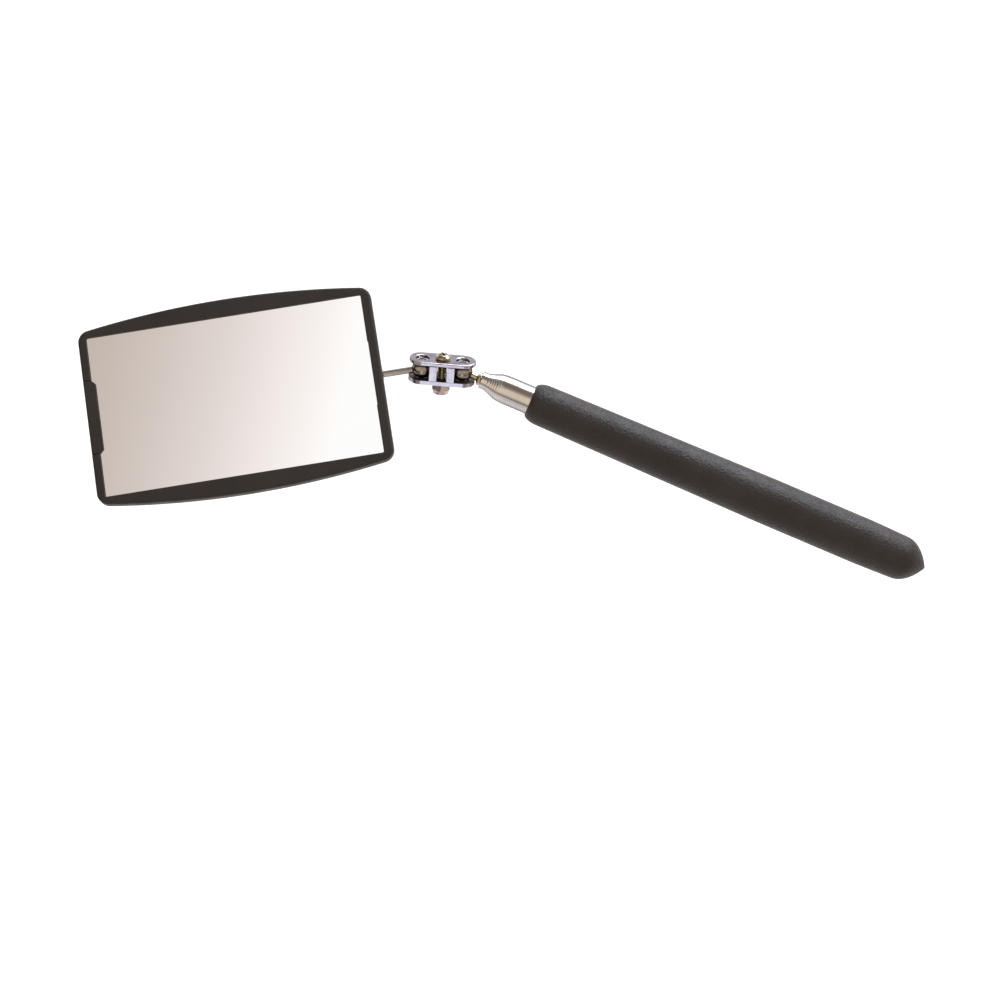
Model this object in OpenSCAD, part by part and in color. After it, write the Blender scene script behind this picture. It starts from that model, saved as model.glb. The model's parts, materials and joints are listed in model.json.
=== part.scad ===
// Telescoping inspection mirror: a framed glass mirror on a double-ball swivel, at the tip of a
// seven-section mast whose outer tube is covered by a vinyl grip. The mast is pushed in.
// Millimetres. +X runs along the handle from the swivel to the tail, and +Z is up.
// The origin is on the handle's axis, at the middle of the grip's straight stretch.
// Stations along the mast are counted from the centre of the ball on the mast's tip.

/* [Mirror head] */
// Length of the glass
glass_l = 88.9; // [75:0.1:100]
// Width of the glass
glass_w = 54; // [46:0.1:58]
// Thickness of the glass
glass_t = 1.8; // [1.5:0.1:2.2]
// Cover of the frame's end lips over the glass
end_lip = 0.8; // [0.5:0.1:1.2]
// Cover of the frame's long lips over the glass
side_lip = 1.2; // [0.6:0.1:1.6]
// Thickness of the lips in front of the glass
lip_t = 0.8; // [0.6:0.1:1.2]
// Thickness of the frame's back wall
back_t = 1.2; // [0.8:0.1:1.6]
// Thickness of the soft pad behind the glass
pad_t = 0.2; // [0.1:0.1:0.4]
// Width of the frame beside the window at the end far from the swivel
far_bezel = 2.7; // [2.4:0.1:4]
// Width of the frame beside the window at the swivel end
near_bezel = 3.2; // [2.4:0.1:5]
// Width of the frame beside the window at the middle of each long side
side_bezel = 5.7; // [4.5:0.1:8]
// How much the long sides bow out between the ends of the window
bow = 3.3; // [1:0.1:4]
// Radius of the frame's corners
corner_r = 3.8; // [2:0.1:6]

/* [Glass latch] */
// Width of the snap tab that holds the glass in
latch_w = 23.6; // [12:0.1:32]
// Reach of the tab's lip past the frame's own lip
latch_reach = 1.2; // [0.4:0.1:2]
// Gap at each end of the tab
latch_gap = 0.25; // [0.15:0.05:0.5]

/* [Swivel] */
// Diameter of both balls
ball_d = 6.35; // [5:0.05:8]
// Distance between the ball centres
ball_pitch = 12.7; // [11:0.1:16]
// Length of the clamp plates
plate_l = 20.9; // [20:0.1:26]
// Width of the clamp plates
plate_w = 8.2; // [7:0.1:10]
// Thickness of the clamp plates
plate_t = 1.3; // [0.8:0.1:2]
// Gap between the clamp plates
plate_gap = 5; // [4.6:0.05:5.4]
// Diameter of the clamp screw's thread
screw_d = 2.9; // [2.5:0.1:3]
// Diameter of the clamp screw's head
head_d = 4.8; // [4:0.1:5]
// Height of the clamp screw's head
head_h = 1.6; // [1:0.1:2.4]
// Width of the lock nut across its flats
nut_af = 5.5; // [5:0.1:6.5]
// Height of the lock nut
nut_h = 4; // [3:0.1:5]
// Diameter of the mirror's rod and of the neck behind the mast's ball
rod_d = 2; // [1.6:0.1:2.2]
// Distance from the mirror's ball to the frame
rod_reach = 12.4; // [10:0.1:30]

/* [Mast] */
// Outer diameter of the outer tube
outer_d = 9; // [8.6:0.1:10]
// Difference between the outer diameters of neighbouring sections
step_d = 0.6; // [0.58:0.01:0.62]
// Wall of each tube
wall = 0.18; // [0.16:0.01:0.19]
// Station of the innermost section's tip
tip_s = 6.3; // [6:0.1:8]
// Station of the tail of the outer tube
outer_tail_s = 150; // [140:1:170]
// Length of each split friction sleeve
sleeve_l = 12; // [6:1:16]

/* [Grip] */
// Station of the grip's front end
grip_front_s = 23.2; // [20:0.1:40]
// Radius of the grip near its front end
grip_front_r = 6.55; // [5.5:0.05:7]
// Radius of the grip's straight stretch
seat_r = 7.4; // [6.5:0.1:9]
// Length of the grip's straight stretch
seat_l = 34; // [20:1:40]
// Radius where the tail's dome begins
dome_r = 7.05; // [6:0.05:9]
// Length of the tail's dome
dome_l = 8.9; // [6:0.1:12]

/* [Pose at rest] */
// Turn of the clamp about +Z, away from the handle's line
clamp_yaw = 18.4; // [0:0.1:30]
// Angle between the clamp's broad faces and +Z
clamp_lean = 25.5; // [15:0.1:40]
// Turn of the mirror about +Z, away from the handle's line
head_yaw = 32.1; // [0:0.1:40]
// Lean of the mirror about its rod, so that one long edge rests on the table
head_lean = 13.9; // [5:0.1:20]

/* [Hidden] */

$fn = 96;
eps = 0.05;

chrome = [0.82, 0.81, 0.79];
steel = [0.74, 0.74, 0.72];
brass = [0.75, 0.62, 0.36];
vinyl = [0.21, 0.2, 0.19];
frame_black = [0.22, 0.2, 0.18];

// Stations on the mast. Station 0 is the ball, and row X is station - seat_s.
seat_s = 121;
grip_end_s = 158.7;
dome_s = grip_end_s - dome_l;
taper_end_s = seat_s - seat_l / 2;
seat_end_s = seat_s + seat_l / 2;
grip_nose = 1.6;
grip_bore_clear = 0.02;
grip_bore_end_s = outer_tail_s + 1.2;
sections = 7;
mouths_s = [12.6, 11.7, 10.9, 10.2, 9.5, 8.5, tip_s];
tail_step = 1;
first_tail_s = outer_tail_s - 3;
lip_clear = 0.05;
lip_l = 1.1;
lip_taper = 0.9;
mouth_chamfer = 0.12;
guide_l = 6;
guide_clear = 0.04;
sleeve_clear = 0.02;
sleeve_bore_clear = 0.03;
sleeve_slit = 1;
plug_l = 2;
plug_flange = 0.9;

// Swivel
ball_r = ball_d / 2;
rod_r = rod_d / 2;
cup_r = ball_r + 0.05;
ball_hole_r = sqrt(pow(ball_r, 2) - pow(plate_gap / 2, 2)) + 0.05;
screw_hole_r = screw_d / 2 + 0.15;
plate_in = plate_gap / 2;
plate_out = plate_in + plate_t;
ear_from = 1.6;
ear_to = 3.9;
ear_t = 0.9;
ear_clear = 0.1;
recess_w = 0.6;
recess_l = 2.7;
recess_d = 0.9;
nut_hex_h = 0.64 * nut_h;
nut_collar_r = 0.47 * nut_af;
insert_h = 1;
insert_r = 2;
neck_end_s = 5.5;
neck_flare_l = 0.5;
collar_r = 2.2;
stud_clear = 0.1;
pin_l = 5.5;
pin_clear = 0.03;
pin_bore_l = 6;

// Mirror head, in its own frame: the mirror's ball is the origin, the rod runs along -X,
// and the glass faces +Z.
window_l = glass_l - 2 * end_lip;
window_w = glass_w - 2 * side_lip;
frame_l = window_l + near_bezel + far_bezel;
frame_half_w = window_w / 2 + side_bezel;
frame_mid_x = -rod_reach - frame_l / 2;
glass_mid_x = -rod_reach - near_bezel - window_l / 2;
far_x = -rod_reach - frame_l;
bow_r = (pow(window_l / 2, 2) + pow(bow, 2)) / (2 * bow);
back_z = 0.2;
floor_z = back_z + back_t;
glass_z = floor_z + pad_t;
lip_z = glass_z + glass_t;
front_z = lip_z + lip_t;
pocket_clear = 0.1;
pad_inset = 4;
boss_r = 2;
boss_l = 21;
rod_held = 18;
rod_bore_l = 18.6;
lip_recess = 0.2;
lip_recess_w = 21;
latch_wall = 1.6;
latch_lift = 0.1;
latch_chamfer = 1.2;

// Points on an arc, leaving out the given number of points at both ends
function arc(x, y, r, from, to, steps, skip = 0) =
    [for (i = [skip : steps - skip])
        let (t = from + (to - from) * i / steps)
        [x + r * cos(t), y + r * sin(t)]];

// A rectangle with bowed long sides and corners that meet the bow smoothly
function bowed_outline(half_l, half_w) =
    let (
        x = half_l - corner_r,
        y = half_w - bow_r + sqrt(pow(bow_r - corner_r, 2) - x * x),
        t = atan2(y - half_w + bow_r, x)
    )
    concat(
        arc(x, y, corner_r, 0, t, 8),
        arc(0, half_w - bow_r, bow_r, t, 180 - t, 24, 1),
        arc(-x, y, corner_r, 180 - t, 180, 8),
        arc(-x, -y, corner_r, 180, 180 + t, 8),
        arc(0, bow_r - half_w, bow_r, 180 + t, 360 - t, 24, 1),
        arc(x, -y, corner_r, 360 - t, 360, 8)
    );

function section_r(i) = (outer_d - (i - 1) * step_d) / 2;
function bore_r(i) = section_r(i) - wall;
function tail_s(i) = i == 1 ? outer_tail_s : first_tail_s - (i - 2) * tail_step;

// Children drawn along +Z from 0 are laid along the mast from the given station
module on_mast(station) {
    translate([station - seat_s, 0, 0]) rotate([0, 90, 0]) children();
}

// Children are drawn around the mast's ball, with the clamp's broad faces across their Z
module in_clamp() {
    translate([-seat_s, 0, 0])
        rotate([clamp_lean - 90, 0, clamp_yaw])
            translate([-ball_pitch / 2, 0, 0])
                children();
}

// Children are drawn around the mirror's ball, in the head's own frame
module in_head() {
    translate([-seat_s - ball_pitch * cos(clamp_yaw), -ball_pitch * sin(clamp_yaw), 0])
        rotate([-head_lean, 0, head_yaw])
            children();
}

module block(x0, x1, y0, y1, z0, z1) {
    translate([x0, y0, z0]) cube([x1 - x0, y1 - y0, z1 - z0]);
}

module ring(outer, inner, length) {
    difference() {
        cylinder(r = outer, h = length);
        translate([0, 0, -eps]) cylinder(r = inner, h = length + 2 * eps);
    }
}

module obround(length, width) {
    square([length - width, width], center = true);
    for (side = [-1, 1]) translate([side * (length - width) / 2, 0]) circle(d = width);
}

// Grip: a slip-on vinyl sleeve with a closed, slightly pointed tail
function grip_nose_points() =
    arc(grip_front_r - grip_nose, grip_front_s + grip_nose, grip_nose, 270, 360, 8);

function dome_points() =
    [for (i = [0 : 16]) let (u = i / 16) [dome_r * (1 - u * u), dome_s + dome_l * u]];

module grip() {
    color(vinyl) on_mast(0)
        rotate_extrude() polygon(concat(
            [[outer_d / 2 + grip_bore_clear, grip_front_s]],
            grip_nose_points(),
            [[seat_r, taper_end_s], [seat_r, seat_end_s]],
            dome_points(),
            [[0, grip_bore_end_s], [outer_d / 2 + grip_bore_clear, grip_bore_end_s]]
        ));
}

// Plug pressed into the tail of the outer tube
module end_plug() {
    color(steel) on_mast(outer_tail_s - plug_l) {
        cylinder(r = bore_r(1) - 0.01, h = plug_l + plug_flange);
        translate([0, 0, plug_l]) cylinder(r = outer_d / 2, h = plug_flange);
    }
}

// One tube: a lip rolled in at the mouth, and a guide band swelled out at the tail
module tube(i) {
    r = section_r(i);
    bore = bore_r(i);
    lip = section_r(i + 1) + lip_clear;
    guide = i == 1 ? r : bore_r(i - 1) - guide_clear;
    length = tail_s(i) - mouths_s[i - 1];
    color(chrome) on_mast(mouths_s[i - 1])
        rotate_extrude() polygon([
            [lip, 0],
            [r - mouth_chamfer, 0],
            [r, mouth_chamfer],
            [r, length - guide_l - wall],
            [guide, length - guide_l],
            [guide, length],
            [bore, length],
            [bore, lip_l + lip_taper],
            [lip, lip_l]
        ]);
}

// Innermost section: solid, with a bore in its tip for the ball stud
module tip_section() {
    r = section_r(sections);
    guide = bore_r(sections - 1) - guide_clear;
    length = tail_s(sections) - tip_s;
    color(chrome) on_mast(tip_s)
        difference() {
            rotate_extrude() polygon([
                [0, 0],
                [r - mouth_chamfer, 0],
                [r, mouth_chamfer],
                [r, length - guide_l - wall],
                [guide, length - guide_l],
                [guide, length],
                [0, length]
            ]);
            translate([0, 0, -eps]) cylinder(r = rod_r + pin_clear, h = pin_bore_l + eps);
        }
}

// Split sleeve in front of a section's guide band, which rubs in the next tube's bore
module friction_spring(i) {
    inner = section_r(i) + sleeve_clear;
    outer = bore_r(i - 1) - sleeve_bore_clear;
    color(brass) on_mast(tail_s(i) - guide_l - wall - sleeve_l)
        difference() {
            ring(outer, inner, sleeve_l);
            block(0, outer + eps, -sleeve_slit / 2, sleeve_slit / 2, -eps, sleeve_l + eps);
        }
}

// Ball stud: a neck cupped behind the ball, a flared collar, and a pin in the mast's tip
module mast_stud() {
    color(brass) difference() {
        on_mast(0) {
            cylinder(r = rod_r, h = tip_s + pin_l);
            translate([0, 0, neck_end_s]) cylinder(r = collar_r, h = tip_s - stud_clear - neck_end_s);
            translate([0, 0, neck_end_s - neck_flare_l])
                cylinder(r1 = rod_r, r2 = collar_r, h = neck_flare_l);
        }
        translate([-seat_s, 0, 0]) sphere(r = cup_r);
    }
}

module mast_ball() {
    color(chrome) translate([-seat_s, 0, 0]) sphere(r = ball_r);
}

module clamp_plate() {
    difference() {
        translate([0, 0, plate_in]) linear_extrude(plate_t) obround(plate_l, plate_w);
        for (side = [-1, 1])
            translate([side * ball_pitch / 2, 0, 0]) cylinder(r = ball_hole_r, h = plate_out + eps);
        cylinder(r = screw_hole_r, h = plate_out + eps);
    }
}

module upper_clamp_plate() {
    color(chrome) in_clamp() clamp_plate();
}

// The lower plate has four ears bent up beside the screw, which keep the plates in line
module lower_clamp_plate() {
    color(chrome) in_clamp() {
        mirror([0, 0, 1]) clamp_plate();
        for (end = [0, 1], side = [0, 1])
            mirror([end, 0, 0]) mirror([0, side, 0])
                block(ear_from, ear_to, plate_w / 2 - ear_t, plate_w / 2,
                    -plate_out, plate_in - ear_clear);
    }
}

module clamp_screw() {
    color(brass) in_clamp() difference() {
        union() {
            translate([0, 0, -plate_out - nut_h + eps])
                cylinder(d = screw_d, h = 2 * plate_out + nut_h);
            translate([0, 0, plate_out]) cylinder(d = head_d, h = head_h);
        }
        for (turn = [0, 90])
            rotate([0, 0, turn])
                block(-recess_l / 2, recess_l / 2, -recess_w / 2, recess_w / 2,
                    plate_out + head_h - recess_d, plate_out + head_h + eps);
    }
}

// Lock nut: a hexagon with a round collar that holds a plastic ring
module lock_nut() {
    bore = screw_d / 2 + 0.02;
    color(brass) in_clamp() translate([0, 0, -plate_out]) mirror([0, 0, 1]) difference() {
        union() {
            rotate([0, 0, 30]) cylinder(r = nut_af / sqrt(3), h = nut_hex_h, $fn = 6);
            cylinder(r = nut_collar_r, h = nut_h);
        }
        translate([0, 0, -eps]) cylinder(r = bore, h = nut_h + 2 * eps);
        translate([0, 0, nut_h - insert_h - 0.2]) cylinder(r = insert_r, h = insert_h);
    }
}

module nut_insert() {
    color([0.85, 0.84, 0.8]) in_clamp() translate([0, 0, -plate_out]) mirror([0, 0, 1])
        translate([0, 0, nut_h - insert_h - 0.2])
            ring(insert_r, screw_d / 2 + 0.01, insert_h);
}

module mirror_ball() {
    color(chrome) in_head() sphere(r = ball_r);
}

// Rod from the ball into the boss on the back of the frame
module mirror_rod() {
    color(steel) in_head() difference() {
        rotate([0, -90, 0]) cylinder(r = rod_r, h = rod_reach + rod_held);
        sphere(r = cup_r);
    }
}

module latch_cut() {
    half = latch_w / 2 + latch_gap;
    block(far_x - 1, far_x + latch_wall + pocket_clear, -half, half, back_z - 1, front_z + 1);
    block(far_x - 1, far_x + far_bezel, -half, half, lip_z, front_z + 1);
}

// Frame: a moulded tray whose lips hold the glass, with a boss for the rod on its back
module mirror_frame() {
    pocket_l = glass_l + 2 * pocket_clear;
    pocket_w = glass_w + 2 * pocket_clear;
    near_x = glass_mid_x + window_l / 2;
    color(frame_black) in_head() difference() {
        union() {
            translate([frame_mid_x, 0, back_z])
                linear_extrude(front_z - back_z)
                    polygon(bowed_outline(frame_l / 2, frame_half_w));
            translate([-rod_reach, 0, 0]) rotate([0, -90, 0]) cylinder(r = boss_r, h = boss_l);
            translate([-rod_reach - boss_l, 0, 0]) sphere(r = boss_r);
        }
        block(glass_mid_x - pocket_l / 2, glass_mid_x + pocket_l / 2,
            -pocket_w / 2, pocket_w / 2, floor_z, lip_z);
        block(glass_mid_x - window_l / 2, near_x, -window_w / 2, window_w / 2, floor_z, front_z + 1);
        block(near_x - 1, near_x + lip_recess, -lip_recess_w / 2, lip_recess_w / 2,
            floor_z, front_z + 1);
        translate([-rod_reach + 1, 0, 0]) rotate([0, -90, 0])
            cylinder(r = rod_r + pin_clear, h = rod_bore_l + 1);
        latch_cut();
    }
}

module mirror_glass() {
    color([0.86, 0.84, 0.82]) in_head()
        block(glass_mid_x - glass_l / 2, glass_mid_x + glass_l / 2,
            -glass_w / 2, glass_w / 2, glass_z, lip_z);
}

module glass_pad() {
    color([0.35, 0.35, 0.36]) in_head()
        block(glass_mid_x - glass_l / 2 + pad_inset, glass_mid_x + glass_l / 2 - pad_inset,
            -glass_w / 2 + pad_inset, glass_w / 2 - pad_inset, floor_z, glass_z);
}

// Snap tab in the frame's far end: a wall with a lip over the glass
module glass_latch() {
    half = latch_w / 2;
    lip_end = far_x + far_bezel + latch_reach;
    color(frame_black) in_head() {
        block(far_x, far_x + latch_wall, -half, half, back_z, front_z);
        translate([0, 0, lip_z + latch_lift]) linear_extrude(lip_t - latch_lift) polygon([
            [far_x, -half],
            [lip_end - latch_chamfer, -half],
            [lip_end, -half + latch_chamfer],
            [lip_end, half - latch_chamfer],
            [lip_end - latch_chamfer, half],
            [far_x, half]
        ]);
    }
}

grip();
end_plug();
tube(1);  // tube_1
tube(2);  // tube_2
tube(3);  // tube_3
tube(4);  // tube_4
tube(5);  // tube_5
tube(6);  // tube_6
tip_section();  // tube_7
friction_spring(2);  // friction_spring_2
friction_spring(3);  // friction_spring_3
friction_spring(4);  // friction_spring_4
friction_spring(5);  // friction_spring_5
friction_spring(6);  // friction_spring_6
friction_spring(7);  // friction_spring_7
mast_stud();
mast_ball();
upper_clamp_plate();
lower_clamp_plate();
clamp_screw();
lock_nut();
nut_insert();
mirror_ball();
mirror_rod();
mirror_frame();
mirror_glass();
glass_pad();
glass_latch();
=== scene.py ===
"""Telescoping inspection mirror: the visual model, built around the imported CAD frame."""

import json
import math

import bmesh
import bpy
from mathutils import Matrix, Vector


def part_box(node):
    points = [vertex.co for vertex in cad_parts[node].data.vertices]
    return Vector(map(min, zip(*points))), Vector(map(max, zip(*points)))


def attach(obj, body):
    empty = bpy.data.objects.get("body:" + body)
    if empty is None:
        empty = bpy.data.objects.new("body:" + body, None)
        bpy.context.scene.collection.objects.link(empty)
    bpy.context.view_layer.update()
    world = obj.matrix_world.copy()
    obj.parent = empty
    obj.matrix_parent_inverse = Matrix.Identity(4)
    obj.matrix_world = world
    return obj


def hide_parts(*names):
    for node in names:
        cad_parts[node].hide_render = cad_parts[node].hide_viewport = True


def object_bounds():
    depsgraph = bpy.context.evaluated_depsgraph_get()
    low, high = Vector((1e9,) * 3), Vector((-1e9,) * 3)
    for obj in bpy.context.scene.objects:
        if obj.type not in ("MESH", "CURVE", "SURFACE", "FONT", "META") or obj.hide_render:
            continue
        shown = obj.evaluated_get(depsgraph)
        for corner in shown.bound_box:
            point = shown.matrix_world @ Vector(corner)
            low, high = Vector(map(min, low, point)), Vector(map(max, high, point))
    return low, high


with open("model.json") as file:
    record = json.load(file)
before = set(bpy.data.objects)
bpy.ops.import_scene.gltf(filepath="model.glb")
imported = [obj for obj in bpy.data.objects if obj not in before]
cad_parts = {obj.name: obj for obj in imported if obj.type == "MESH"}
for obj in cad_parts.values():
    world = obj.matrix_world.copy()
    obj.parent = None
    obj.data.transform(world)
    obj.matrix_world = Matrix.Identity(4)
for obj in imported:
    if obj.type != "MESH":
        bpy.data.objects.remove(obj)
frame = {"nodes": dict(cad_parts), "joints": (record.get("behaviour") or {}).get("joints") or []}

cad_low, cad_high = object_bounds()
MM = 0.001
nodes = frame["nodes"]
joints = {joint["name"]: joint for joint in frame["joints"]}

# ---------------------------------------------------------------- places taken from the joints


def joint_point(name):
    return Vector(joints[name]["pos_m"])


def joint_axis(name):
    return Vector(joints[name]["axis"]).normalized()


def place(origin, x_axis, z_axis):
    """A right-handed frame at origin, with the given X and Z directions."""
    z = z_axis.normalized()
    y = z.cross(x_axis).normalized()
    x = y.cross(z)
    turn = Matrix((x, y, z)).transposed().to_4x4()
    return Matrix.Translation(origin) @ turn


def frame_at(origin, x_axis, z_axis):
    """The same, for shapes that are drawn in millimetres."""
    return place(origin, x_axis, z_axis) @ Matrix.Scale(MM, 4)


rear_ball = joint_point("clamp_swing")
front_ball = joint_point("mirror_ball_swing")
ROW_X = Vector((1, 0, 0))
ROW_Y = Vector((0, 1, 0))
MAST = frame_at(Vector((0, 0, 0)), ROW_Y, ROW_X)
STUD = frame_at(rear_ball, ROW_Y, ROW_X)
CLAMP = frame_at((rear_ball + front_ball) / 2, rear_ball - front_ball, joint_axis("clamp_swing"))
rod_axis = joint_axis("mirror_spin")
ROD = frame_at(front_ball, joint_axis("glass_latch_flex"), rod_axis)
HEAD = frame_at(front_ball, -rod_axis, rod_axis.cross(joint_axis("glass_latch_flex")))

# ---------------------------------------------------------------- sizes, in millimetres

CUT_MARGIN = 1

GRIP_NOSE_R = 6.55
GRIP_NOSE_L = 4.5
GRIP_NOSE_STEPS = 14
GRIP_SEAT_R = 7.4
GRIP_SEAT_HALF = 17
GRIP_BORE_R = 4.53
GRIP_BORE_GAP = 0.3
GRIP_DOME_R = 7.05
GRIP_DOME_L = 8.9
GRIP_DOME_STEPS = 40
# A power of 0.5 would make the tail a half ellipse; a larger one makes it more pointed.
GRIP_DOME_POWER = 0.9

SECTION_R = [4.5, 4.2, 3.9, 3.6, 3.3, 3.0, 2.7]
TUBE_WALL = 0.18
GUIDE_L = 6
GUIDE_CLEAR = 0.04
LIP_CLEAR = 0.05
LIP_L = 1.1
LIP_TAPER_TO = 2.0
NOSE_L = 0.5
TIP_NOSE_L = 0.3
OUTER_MOUTH_R = 4.34
OUTER_TAPER_L = 2.3

BALL_R = 3.175
CUP_R = BALL_R + 0.05
ROD_R = 1.0
# Where a neck leaves its ball, from the ball's centre.
NECK_FROM = 3.2
COLLAR_R = 2.2
COLLAR_FROM = 5.5
COLLAR_TO = 6.2
COLLAR_ROUND = 0.2
FLARE_L = 0.5
FLARE_ROUND = 0.3
STUD_L = 11.8
STUD_END_ROUND = 0.2
ROD_L = 30.4
ROD_END_ROUND = 0.25
# The clearance round a pin in its hole, and the depth of the stud's bore in the tip section.
PIN_CLEAR = 0.03
STUD_BORE_L = 6

BALL_PITCH = 12.7
PLATE_L = 20.9
PLATE_W = 8.2
PLATE_IN = 2.5
PLATE_OUT = 3.8
BALL_HOLE_R = 2.0
SCREW_HOLE_R = 1.6
EAR_FROM = 1.6
EAR_TO = 3.9
EAR_T = 0.8
EAR_INSET = 0.14
EAR_TOP = 2.4
PLATE_ROUND = 0.42

SCREW_R = 1.45
SCREW_HEAD_R = 2.4
SCREW_HEAD_H = 1.6
SCREW_HEAD_SIDE_H = 0.75
SCREW_HEAD_TOP_R = 1.4
SCREW_HEAD_UNDERCUT = 0.1
SCREW_ROUND = 0.07
# The cross recess, which was left turned when the screw was tightened.
RECESS_HALF_L = 1.4
RECESS_HALF_W = 0.3
RECESS_DEPTH = 0.9
RECESS_TURN = 20
# The shank runs on into the head, and ends just inside the nut.
SHANK_INTO_HEAD = 0.2
SHANK_INSET = 0.05
THREAD_PITCH = 0.5
THREAD_DEPTH = 0.26
THREAD_STEEPNESS = 1.15

NUT_AF = 5.5
NUT_H = 4.0
NUT_HEX_H = 2.56
NUT_CORNER_R = NUT_AF / math.sqrt(3)
NUT_CHAMFER_R = NUT_CORNER_R + 0.05
NUT_CHAMFER_AT_PLATE = 0.28
NUT_CHAMFER_AT_COLLAR = 0.3
NUT_ROUND = 0.08
NUT_COLLAR_R = 2.58
NUT_COLLAR_FROM = 0.6
NUT_COLLAR_ROUND = 0.75
NUT_BORE_R = 1.5
NUT_DISH_R = 1.75
NUT_DISH_FLOOR_R = 1.6
NUT_DISH_DEPTH = 0.4
NUT_DISH_ROUND = 0.2

WINDOW_L = 87.3
WINDOW_W = 51.6
GLASS_L = 88.9
GLASS_W = 54.0
ROD_REACH = 12.4
NEAR_BEZEL = 3.2
FAR_BEZEL = 2.7
SIDE_BEZEL = 5.7
BOW = 3.3
CORNER_R = 3.8
WINDOW_CORNER_R = 0.5
POCKET_CORNER_R = 0.6
POCKET_CLEAR = 0.1
# Heights above the rod's axis.
BACK_Z = 0.2
FLOOR_Z = 1.4
GLASS_Z = 1.6
LIP_Z = 3.4
LIP_UNDER_Z = LIP_Z + 0.02
FRONT_Z = 4.2
BACK_ROUND = 0.5
FRONT_ROUND = 0.85
LIP_ROUND = 0.3
GLASS_ROUND = 0.2

# A shallow notch in the near lip.
NOTCH_HALF_W = 10.5
NOTCH_DEPTH = 0.2
NOTCH_ABOVE_FLOOR = 0.1

LATCH_W = 23.6
LATCH_GAP = 0.25
LATCH_WALL = 1.6
LATCH_WALL_GAP = 0.1
LATCH_LIP_GAP = 0.05
LATCH_LIP_FROM = 0.95
LATCH_LIP_RISE = 0.1
LATCH_REACH = 1.2
LATCH_ROUND = 0.14

BOSS_R = 2.0
BOSS_L = 21
BOSS_END_ROUND = 0.35
BOSS_BURIED = 0.6
ROD_HOLE_L = 18.6
# A block that is wider, deeper and longer than the boss by enough to cut it cleanly.
BOSS_CUT_HALF_W = 10
BOSS_CUT_DEEP = 5

SIDE_RADIUS = ((WINDOW_L / 2) ** 2 + BOW ** 2) / (2 * BOW)
# A side radius so large that the side is straight.
STRAIGHT = 1e5
FRAME_L = WINDOW_L + NEAR_BEZEL + FAR_BEZEL
FRAME_MID_X = -ROD_REACH - FRAME_L / 2
GLASS_MID_X = -ROD_REACH - NEAR_BEZEL - WINDOW_L / 2
FAR_X = -ROD_REACH - FRAME_L

# ---------------------------------------------------------------- mesh tools

UPRIGHT = Matrix.Identity(4)
UPSIDE_DOWN = Matrix.Rotation(math.pi, 4, "X")
HEAD_TO_ROD = place(Vector((0, 0, 0)), ROW_Y, -ROW_X)


SMOOTH_ANGLE = 35
THREAD_SMOOTH_ANGLE = 60


def new_piece(name, bm, smooth_angle=SMOOTH_ANGLE):
    """An object from a bmesh in millimetres, shaded smooth up to an angle."""
    bmesh.ops.recalc_face_normals(bm, faces=bm.faces)
    mesh = bpy.data.meshes.new(name)
    bm.to_mesh(mesh)
    bm.free()
    piece = bpy.data.objects.new(name, mesh)
    bpy.context.scene.collection.objects.link(piece)
    shade(piece, smooth_angle)
    return piece


def shade(piece, smooth_angle=SMOOTH_ANGLE):
    """Smooth shading, with sharp edges where faces meet at more than an angle."""
    mesh = piece.data
    mesh.polygons.foreach_set("use_smooth", [True] * len(mesh.polygons))
    mesh.set_sharp_from_angle(angle=math.radians(smooth_angle))


def even_normals(piece):
    """Keeps broad flat faces flat next to their rounded edges."""
    modifier = piece.modifiers.new("even_normals", "WEIGHTED_NORMAL")
    modifier.weight = 90
    modifier.keep_sharp = True


def bake_modifiers(piece):
    """Turns the modifiers' result into the piece's own mesh."""
    depsgraph = bpy.context.evaluated_depsgraph_get()
    mesh = bpy.data.meshes.new_from_object(piece.evaluated_get(depsgraph))
    piece.modifiers.clear()
    piece.data = mesh


def combine(piece, other, operation):
    """Joins, cuts or intersects piece with other, and removes other."""
    modifier = piece.modifiers.new(operation.lower(), "BOOLEAN")
    modifier.operation = operation
    modifier.solver = "EXACT"
    modifier.object = other
    bake_modifiers(piece)
    bpy.data.objects.remove(other)


def merge_flats(piece):
    """Makes one face of faces that lie in one plane, so that a bevel runs round them evenly."""
    bm = bmesh.new()
    bm.from_mesh(piece.data)
    bmesh.ops.remove_doubles(bm, verts=bm.verts, dist=1e-4)
    bmesh.ops.dissolve_limit(
        bm, angle_limit=math.radians(0.5), verts=bm.verts, edges=bm.edges, delimit={"MATERIAL"}
    )
    bm.to_mesh(piece.data)
    bm.free()


def soften(piece, width, segments=4, angle=40):
    """Rounds the edges that are sharper than an angle."""
    merge_flats(piece)
    modifier = piece.modifiers.new("soften", "BEVEL")
    modifier.width = width
    modifier.segments = segments
    modifier.limit_method = "ANGLE"
    modifier.angle_limit = math.radians(angle)
    bake_modifiers(piece)
    shade(piece)
    even_normals(piece)


def quarter_turn(steps):
    """Angles from 0 to 90 degrees, in radians."""
    return [math.pi / 2 * k / steps for k in range(steps + 1)]


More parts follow.
